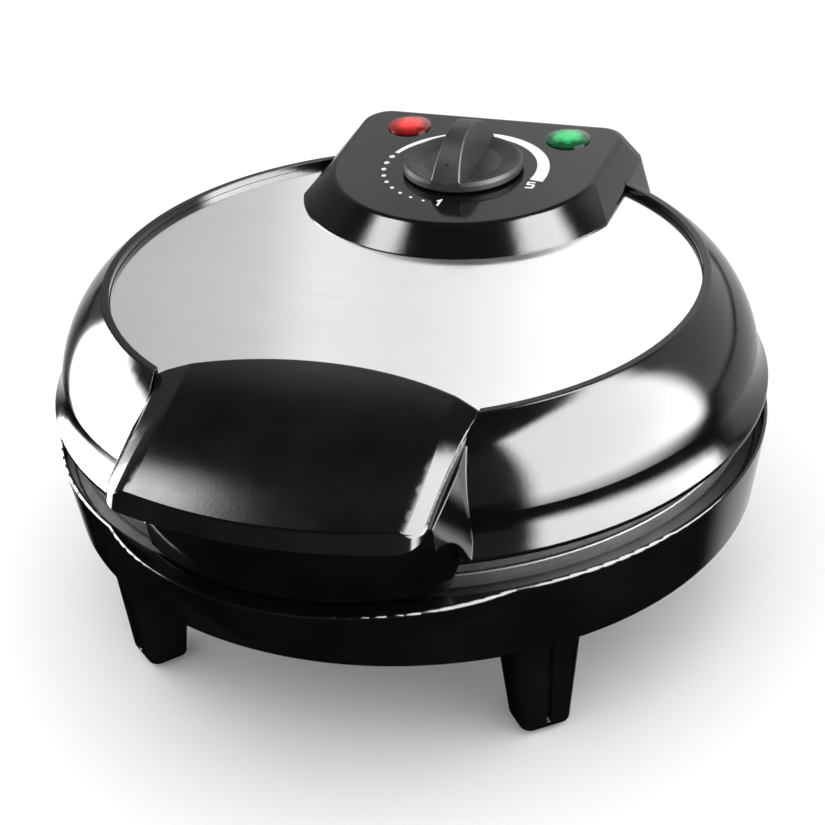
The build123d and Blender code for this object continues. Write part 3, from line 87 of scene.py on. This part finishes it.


def span(tree, value, low, high, to_low=0.0, to_high=1.0, kind="SMOOTHSTEP"):
    """The value, with low to high mapped to the other two numbers and held at them outside."""
    node = tree.nodes.new("ShaderNodeMapRange")
    node.interpolation_type = kind
    tree.links.new(value, node.inputs["Value"])
    node.inputs["From Min"].default_value, node.inputs["From Max"].default_value = low, high
    node.inputs["To Min"].default_value, node.inputs["To Max"].default_value = to_low, to_high
    return node.outputs["Result"]


def math_node(tree, operation, *values):
    """A Math node's result. Each value is a node's output or a plain number."""
    node = tree.nodes.new("ShaderNodeMath")
    node.operation = operation
    for socket, value in zip(node.inputs, values):
        if isinstance(value, float):
            socket.default_value = value
        else:
            tree.links.new(value, socket)
    return node.outputs[0]


def ramp(tree, value, stops):
    """The colour at the value, from stops of a place between 0 and 1 and a colour."""
    node = tree.nodes.new("ShaderNodeValToRGB")
    elements = node.color_ramp.elements
    while len(elements) < len(stops):
        elements.new(0.5)
    for element, (at, colour) in zip(elements, stops):
        element.position, element.color = at, (*colour, 1)
    tree.links.new(value, node.inputs[0])
    return node.outputs[0]


def camera():
    """The photograph's camera, turned about the line to its target by ROLL."""
    back = Vector((sin(AZIMUTH) * cos(ELEVATION), -cos(AZIMUTH) * cos(ELEVATION), sin(ELEVATION)))
    side = Vector((cos(AZIMUTH), sin(AZIMUTH), 0))
    up = back.cross(side)
    turned_side = side * cos(ROLL) + up * sin(ROLL)
    turned_up = up * cos(ROLL) - side * sin(ROLL)
    data = bpy.data.cameras.new("camera")
    data.lens, data.sensor_width, data.sensor_fit = LENS, SENSOR, "HORIZONTAL"
    data.clip_start, data.clip_end = NEAREST, FARTHEST
    cam = bpy.data.objects.new("camera", data)
    bpy.context.scene.collection.objects.link(cam)
    cam.matrix_world = Matrix((turned_side, turned_up, back)).transposed().to_4x4()
    cam.location = TARGET + back * DISTANCE
    bpy.context.scene.camera = cam


def background(tree, colour, strength):
    """A Background node. The strength is a node's output or a plain number."""
    node = tree.nodes.new("ShaderNodeBackground")
    node.inputs["Color"].default_value = colour
    if isinstance(strength, float):
        node.inputs["Strength"].default_value = strength
    else:
        tree.links.new(strength, node.inputs["Strength"])
    return node.outputs[0]


def world():
    """A white room. In reflections it is a backdrop behind the object, dark above, below and in front."""
    studio = bpy.data.worlds.new("studio")
    bpy.context.scene.world = studio
    studio.use_nodes = True
    tree = studio.node_tree
    tree.nodes.clear()
    direction = tree.nodes.new("ShaderNodeSeparateXYZ")
    tree.links.new(tree.nodes.new("ShaderNodeTexCoord").outputs["Generated"], direction.inputs[0])
    across, along, height = (direction.outputs[axis] for axis in "XYZ")

    # The table's and the backdrop's brightness in reflections
    table = math_node(tree, "MULTIPLY", span(tree, height, *TABLE_BELOW), span(tree, along, *TABLE_BEHIND))
    greys = [((at + 1) / 2, (grey, grey, grey)) for at, grey in BACKDROP]
    backdrop = ramp(tree, span(tree, across, -1, 1, kind="LINEAR"), greys)
    for axis, fade in ((height, FADE_UP), (along, FADE_FRONT), (height, FADE_DOWN)):
        backdrop = math_node(tree, "MULTIPLY", backdrop, span(tree, axis, *fade))

    mirrored = background(tree, TINT, math_node(tree, "ADD", backdrop, table))
    seen = background(tree, WHITE, ROOM)
    ray = tree.nodes.new("ShaderNodeLightPath")
    mix = tree.nodes.new("ShaderNodeMixShader")
    out = tree.nodes.new("ShaderNodeOutputWorld")
    tree.links.new(ray.outputs["Is Glossy Ray"], mix.inputs[0])
    tree.links.new(seen, mix.inputs[1])
    tree.links.new(mirrored, mix.inputs[2])
    tree.links.new(mix.outputs[0], out.inputs[0])


def softbox(name, place, aim, wide, tall, brightness, soft):
    """A panel that only reflections show, so that it leaves the floor even. Its power follows its area."""
    data = bpy.data.lights.new(name, "AREA")
    data.shape, data.size, data.size_y = "RECTANGLE", wide, tall
    data.energy = brightness * wide * tall * pi
    lamp = bpy.data.objects.new(name, data)
    bpy.context.scene.collection.objects.link(lamp)
    lamp.location = Vector(place)
    lamp.rotation_mode = "QUATERNION"
    lamp.rotation_quaternion = (Vector(aim) - lamp.location).to_track_quat("-Z", "Y")
    lamp.visible_camera = False
    lamp.visible_diffuse = False

    # Its four edges fade out
    data.use_nodes = True
    tree = data.node_tree
    panel = tree.nodes.new("ShaderNodeSeparateXYZ")
    tree.links.new(tree.nodes.new("ShaderNodeNewGeometry").outputs["Parametric"], panel.inputs[0])
    strength = 1.0
    for axis in "XY":
        for edge, inside in ((0.0, soft), (1.0, 1.0 - soft)):
            fade = span(tree, panel.outputs[axis], edge, inside)
            strength = math_node(tree, "MULTIPLY", strength, fade)
    tree.links.new(strength, tree.nodes["Emission"].inputs["Strength"])


def floor():
    """The pale floor, which reflections on the object don't show."""
    mesh = bpy.data.meshes.new("floor")
    corners = [(x * FLOOR_HALF, y * FLOOR_HALF, 0) for x, y in ((-1, -1), (1, -1), (1, 1), (-1, 1))]
    mesh.from_pydata(corners, [], [(0, 1, 2, 3)])
    obj = bpy.data.objects.new("floor", mesh)
    bpy.context.scene.collection.objects.link(obj)
    paint = Paint("floor")
    paint.put("Base Color", (0.86, 0.86, 0.87, 1))
    paint.vary_roughness(3.0, 0.55, 0.7)
    mesh.materials.append(paint.material)
    obj.visible_glossy = False


class Paint:
    """One material: a shader, and the noise that gives its colour, gloss and relief."""

    def __init__(self, name, metallic=0.0):
        self.material = bpy.data.materials.new(name)
        self.material.use_nodes = True
        self.tree = self.material.node_tree
        self.shader = self.tree.nodes["Principled BSDF"]
        self.place = self.tree.nodes.new("ShaderNodeTexCoord").outputs["Object"]
        self.put("Metallic", metallic)

    def put(self, socket, value):
        self.shader.inputs[socket].default_value = value

    def link(self, output, socket):
        self.tree.links.new(output, self.shader.inputs[socket])

    def noise(self, scale, detail, stretch):
        """Noise with about scale spots to the metre, drawn out along an axis where stretch is below 1."""
        mapping = self.tree.nodes.new("ShaderNodeMapping")
        mapping.inputs["Scale"].default_value = stretch
        self.tree.links.new(self.place, mapping.inputs["Vector"])
        node = self.tree.nodes.new("ShaderNodeTexNoise")
        node.inputs["Scale"].default_value = scale
        node.inputs["Detail"].default_value = detail
        self.tree.links.new(mapping.outputs[0], node.inputs["Vector"])
        return node.outputs["Fac"]

    def vary_colour(self, scale, dark, light, stretch=(1, 1, 1)):
        stops = tuple(zip(COLOUR_SPAN, (dark, light)))
        self.link(ramp(self.tree, self.noise(scale, 4.0, stretch), stops), "Base Color")

    def vary_roughness(self, scale, low, high, stretch=(1, 1, 1)):
        value = self.noise(scale, 3.0, stretch)
        self.link(span(self.tree, value, *GLOSS_SPAN, low, high, "LINEAR"), "Roughness")

    def relief(self, scale, depth, strength, stretch=(1, 1, 1), detail=2.0, soften=0.0):
        """Fine bumps; soften evens out the facets of narrow roundings over that radius."""
        node = self.tree.nodes.new("ShaderNodeBump")
        node.inputs["Distance"].default_value = depth
        node.inputs["Strength"].default_value = strength
        self.tree.links.new(self.noise(scale, detail, stretch), node.inputs["Height"])
        self.link(node.outputs[0], "Normal")
        if soften:
            even = self.tree.nodes.new("ShaderNodeBevel")
            even.samples = SOFTEN_SAMPLES
            even.inputs["Radius"].default_value = soften
            self.tree.links.new(even.outputs[0], node.inputs["Normal"])


def casing():
    """Glossy black moulding with a faint orange peel and traces of handling."""
    paint = Paint("casing")
    paint.put("Specular IOR Level", MIRROR_LEVEL)
    paint.vary_colour(40, (0.0025, 0.0020, 0.0022), (0.0050, 0.0040, 0.0043))
    paint.vary_roughness(55, 0.07, 0.13)
    paint.relief(700, 0.00002, 0.25, soften=0.0005)
    return paint.material


def handle():
    paint = Paint("handle")
    paint.put("Specular IOR Level", MIRROR_LEVEL)
    paint.vary_colour(60, (0.0025, 0.0021, 0.0022), (0.0048, 0.0040, 0.0043))
    paint.vary_roughness(70, 0.08, 0.15)
    paint.relief(900, 0.00002, 0.25)
    return paint.material


def dial():
    """Satin grey-black moulding with a fine spark-eroded grain."""
    paint = Paint("dial")
    paint.put("Specular IOR Level", 0.2)
    paint.vary_colour(120, (0.026, 0.023, 0.027), (0.038, 0.035, 0.040))
    paint.vary_roughness(90, 0.34, 0.46)
    paint.relief(4000, 0.00004, 0.6)
    return paint.material


def coated_plate():
    """Cast aluminium under a dark non-stick coat: speckled, with fine machining lines round the rim."""
    paint = Paint("coated_plate")
    paint.vary_colour(1600, (0.018, 0.017, 0.019), (0.045, 0.043, 0.047))
    paint.vary_roughness(200, 0.38, 0.48)
    paint.relief(260, 0.00012, 0.4, stretch=(1, 1, 14), detail=5.0)
    return paint.material


def inlay():
    """Polished steel sheet with a faint lengthwise brushing."""
    paint = Paint("inlay", metallic=1.0)
    paint.vary_colour(14, (0.84, 0.84, 0.85), (0.88, 0.88, 0.885))
    paint.vary_roughness(300, 0.08, 0.14, stretch=(0.05, 1, 1))
    paint.relief(2400, 0.000004, 0.08, stretch=(0.02, 1, 1))
    return paint.material


def screws():
    paint = Paint("screws", metallic=1.0)
    paint.vary_colour(500, (0.50, 0.49, 0.46), (0.68, 0.67, 0.63))
    paint.vary_roughness(900, 0.25, 0.42)
    paint.relief(2500, 0.00004, 0.5)
    return paint.material


def heater_tube():
    paint = Paint("heater_tube", metallic=1.0)
    paint.vary_colour(90, (0.20, 0.17, 0.16), (0.40, 0.34, 0.28))
    paint.vary_roughness(400, 0.35, 0.6)
    paint.relief(1500, 0.00005, 0.5)
    return paint.material


def reflector_sheet():
    paint = Paint("reflector_sheet", metallic=1.0)
    paint.vary_colour(50, (0.72, 0.72, 0.73), (0.84, 0.84, 0.85))
    paint.vary_roughness(250, 0.18, 0.32, stretch=(0.1, 1, 1))
    paint.relief(900, 0.00004, 0.3, stretch=(0.1, 1, 1))
    return paint.material


def bottom():
    paint = Paint("bottom")
    paint.vary_colour(150, (0.014, 0.014, 0.015), (0.024, 0.024, 0.025))
    paint.vary_roughness(120, 0.42, 0.58)
    paint.relief(2600, 0.00008, 0.6)
    return paint.material


def ceramic():
    paint = Paint("ceramic")
    paint.vary_colour(300, (0.74, 0.71, 0.64), (0.84, 0.82, 0.77))
    paint.vary_roughness(300, 0.3, 0.5)
    paint.relief(1500, 0.00006, 0.5)
    return paint.material


def phenolic():
    paint = Paint("phenolic")
    paint.vary_colour(500, (0.07, 0.03, 0.018), (0.14, 0.065, 0.035))
    paint.vary_roughness(300, 0.35, 0.5)
    paint.relief(1800, 0.00005, 0.5)
    return paint.material


def fuse():
    paint = Paint("fuse", metallic=1.0)
    paint.vary_colour(700, (0.64, 0.64, 0.65), (0.76, 0.76, 0.77))
    paint.vary_roughness(900, 0.25, 0.4)
    paint.relief(2500, 0.00003, 0.4)
    return paint.material


def leads():
    """Braided glass-fibre sleeve."""
    paint = Paint("leads")
    paint.vary_colour(1800, (0.50, 0.48, 0.44), (0.70, 0.68, 0.63))
    paint.vary_roughness(900, 0.65, 0.85)
    paint.relief(3200, 0.0002, 0.9)
    return paint.material


def steel():
    paint = Paint("steel", metallic=1.0)
    paint.vary_colour(300, (0.52, 0.52, 0.53), (0.66, 0.66, 0.67))
    paint.vary_roughness(500, 0.22, 0.38)
    paint.relief(2500, 0.00003, 0.4)
    return paint.material


def white_print():
    paint = Paint("print")
    paint.vary_colour(2500, (0.74, 0.74, 0.76), (0.88, 0.88, 0.90))
    paint.vary_roughness(900, 0.38, 0.55)
    paint.relief(3500, 0.00002, 0.4)
    return paint.material


def lens(name, edge, lit_middle):
    """Clear coloured moulding with facets below the surface. Its colour is painted light: a painted glow
    in the middle, painted shade at its edge, the facets painted as cells nearer that shade, and the colour
    glows a little.
    """
    paint = Paint(name)
    low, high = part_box(name)
    centre = (low + high) / 2
    away = paint.tree.nodes.new("ShaderNodeVectorMath")
    away.operation = "DISTANCE"
    paint.tree.links.new(paint.place, away.inputs[0])
    away.inputs[1].default_value = (centre.x, centre.y, high.z)
    cells = paint.tree.nodes.new("ShaderNodeTexVoronoi")
    cells.inputs["Scale"].default_value = LENS_FACETS
    paint.tree.links.new(paint.place, cells.inputs["Vector"])
    # The facets are painted as cells shifted towards the edge's painted shade
    facet = math_node(paint.tree, "MULTIPLY", cells.outputs["Distance"], FACET_SHARE)
    share = math_node(paint.tree, "MULTIPLY_ADD", away.outputs["Value"], 1 / LENS_REACH, facet)
    # Painted glow in the middle, turning into painted shade at the edge
    colour = ramp(paint.tree, share, tuple(zip(LENS_GLOW_TO_SHADE, (lit_middle, edge))))
    paint.link(colour, "Base Color")
    # The same painted colour also glows: a painted glow, though the lens is no lamp
    paint.link(colour, "Emission Color")
    paint.put("Emission Strength", 0.35)
    paint.put("Transmission Weight", 0.25)
    paint.put("Specular IOR Level", 0.3)
    paint.vary_roughness(400, 0.06, 0.12)
    paint.relief(LENS_FACETS, 0.0002, 0.35)
    return paint.material


def lamp_glass():
    paint = Paint("lamp_glass")
    paint.put("Transmission Weight", 0.9)
    paint.vary_colour(200, (0.92, 0.82, 0.72), (0.98, 0.90, 0.82))
    paint.vary_roughness(300, 0.03, 0.08)
    paint.relief(600, 0.00005, 0.3)
    return paint.material


def pads():
    paint = Paint("pads")
    paint.vary_colour(400, (0.022, 0.022, 0.022), (0.04, 0.04, 0.04))
    paint.vary_roughness(500, 0.6, 0.8)
    paint.relief(2200, 0.00008, 0.6)
    return paint.material


def dress():
    """Gives every CAD node the material of its slot."""
    finish = {
        "casing": casing(),
        "handle": handle(),
        "dial": dial(),
        "coated_plate": coated_plate(),
        "inlay": inlay(),
        "screws": screws(),
        "heater_tube": heater_tube(),
        "reflector_sheet": reflector_sheet(),
        "bottom": bottom(),
        "ceramic": ceramic(),
        "phenolic": phenolic(),
        "fuse": fuse(),
        "leads": leads(),
        "steel": steel(),
        "print": white_print(),
        # For each lens: the painted shade of its edge, then the painted glow of its middle
        "lens_red": lens("lens_red", (0.16, 0.004, 0.004), (0.80, 0.03, 0.02)),
        "lens_green": lens("lens_green", (0.003, 0.07, 0.025), (0.02, 0.50, 0.16)),
        "lamp_glass": lamp_glass(),
        "pads": pads(),
    }
    for entry in frame["record"]["subparts"]:
        mesh = frame["nodes"][entry["node"]].data
        mesh.materials.clear()
        mesh.materials.append(finish[entry["material_slot"]])


camera()
world()
for box in SOFTBOXES:
    softbox(*box)
floor()
dress()
bpy.context.scene.view_settings.view_transform = "Standard"
